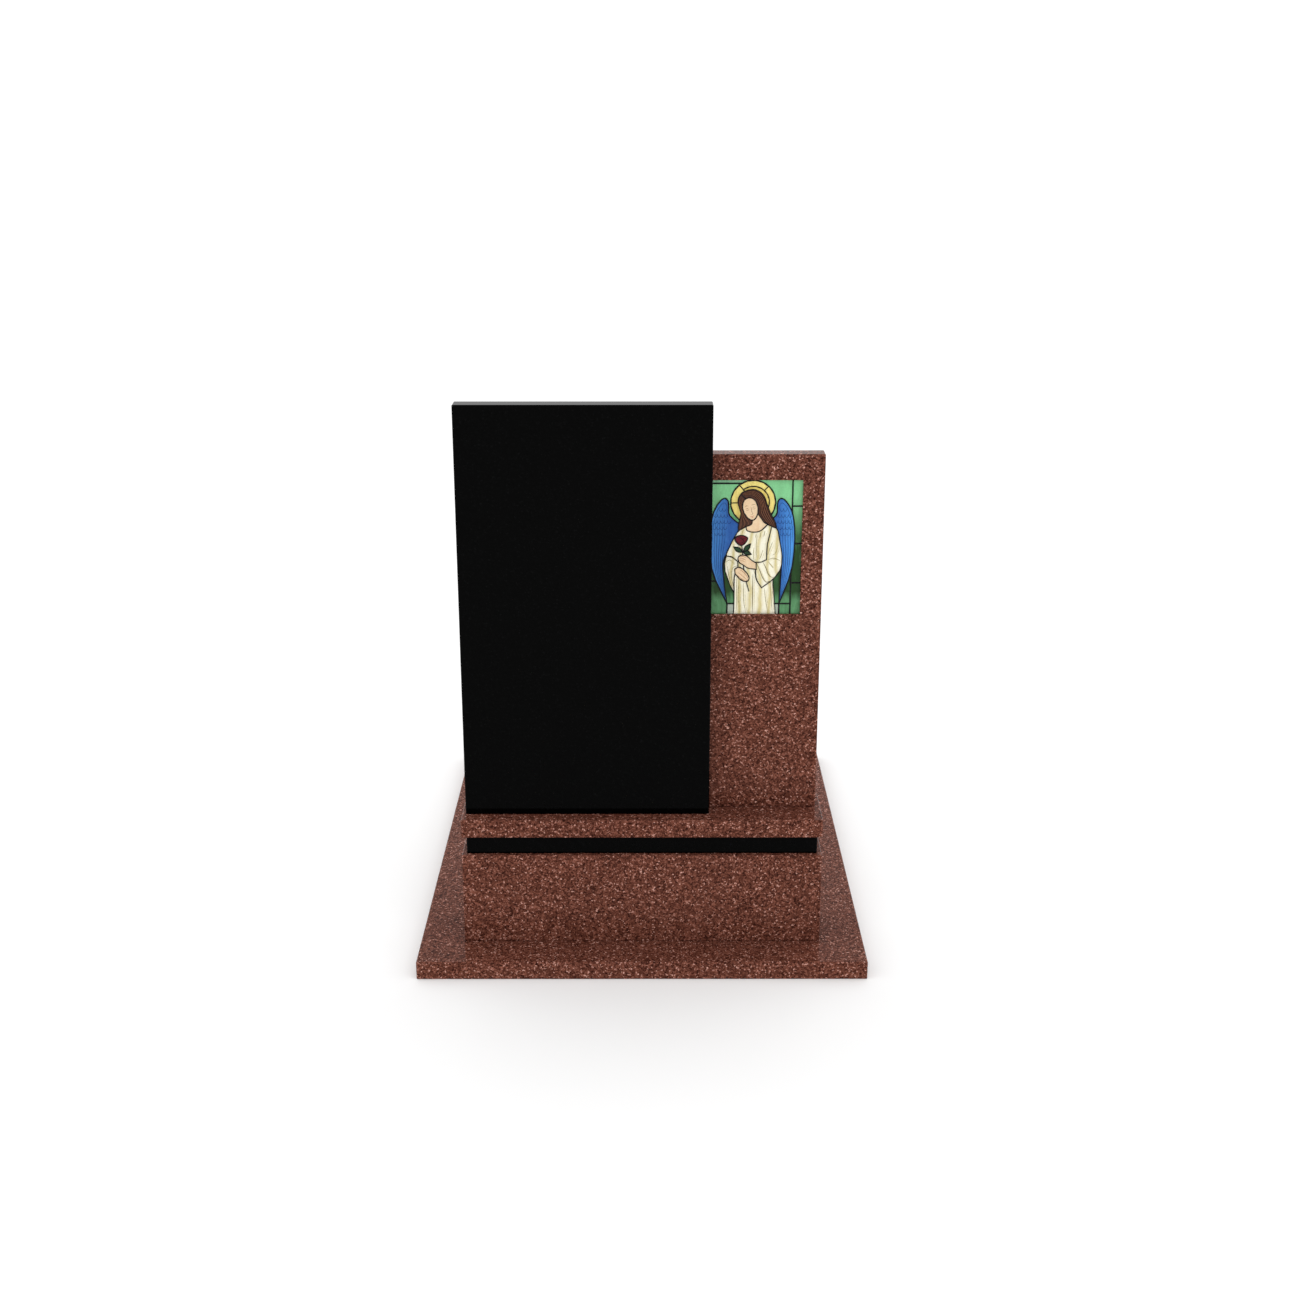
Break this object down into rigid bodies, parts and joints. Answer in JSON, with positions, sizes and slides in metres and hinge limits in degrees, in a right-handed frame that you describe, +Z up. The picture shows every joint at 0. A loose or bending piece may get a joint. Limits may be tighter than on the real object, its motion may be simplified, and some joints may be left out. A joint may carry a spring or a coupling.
{
  "type": "stained glass headstone",
  "caption": "Stepped granite headstone on a long ground slab: a tall black tablet beside a red granite one that holds a leaded stained glass window of an angel.",
  "frame": {"origin": "middle of the ground slab's underside", "axes": "+Z up, the headstone faces -Y, +X to the viewer's right"},
  "size_m": [0.95, 1.25, 1.1962],
  "materials": {
    "red_granite": "polished",
    "black_granite": "polished",
    "lead": "matt",
    "green_glass": "gloss",
    "gold_glass": "gloss",
    "flesh_glass": "gloss",
    "blue_glass": "gloss",
    "brown_glass": "gloss",
    "cream_glass": "gloss",
    "red_glass": "gloss",
    "leaf_glass": "gloss"
  },
  "bodies": {
    "root": {"base_slab": "red_granite", "plinth_block": "red_granite", "strip_course": "black_granite", "cap_slab": "red_granite", "black_tablet": "black_granite", "red_tablet": "red_granite", "lead_cames": "lead", "glass_background_01": "green_glass", "glass_background_02": "green_glass", "glass_background_03": "green_glass", "glass_background_04": "green_glass", "glass_background_05": "green_glass", "glass_background_06": "green_glass", "glass_background_07": "green_glass", "glass_background_08": "green_glass", "glass_background_09": "green_glass", "glass_background_10": "green_glass", "glass_background_11": "green_glass", "glass_background_12": "green_glass", "glass_background_13": "green_glass", "glass_background_14": "green_glass", "glass_background_15": "green_glass", "glass_halo_ring_01": "gold_glass", "glass_halo_ring_02": "gold_glass", "glass_halo_ring_03": "gold_glass", "glass_halo_ring_04": "gold_glass", "glass_halo_inner_01": "gold_glass", "glass_face_01": "flesh_glass", "glass_neck_01": "flesh_glass", "glass_wing_01": "blue_glass", "glass_wing_02": "blue_glass", "glass_hair_01": "brown_glass", "glass_hair_02": "brown_glass", "glass_robe_01": "cream_glass", "glass_robe_02": "cream_glass", "glass_sleeve_01": "cream_glass", "glass_sleeve_02": "cream_glass", "glass_hand_01": "flesh_glass", "glass_hand_02": "flesh_glass", "glass_rose_01": "red_glass", "glass_leaf_01": "leaf_glass", "glass_leaf_02": "leaf_glass", "glass_leaf_03": "leaf_glass"}
  },
  "joints": []
}
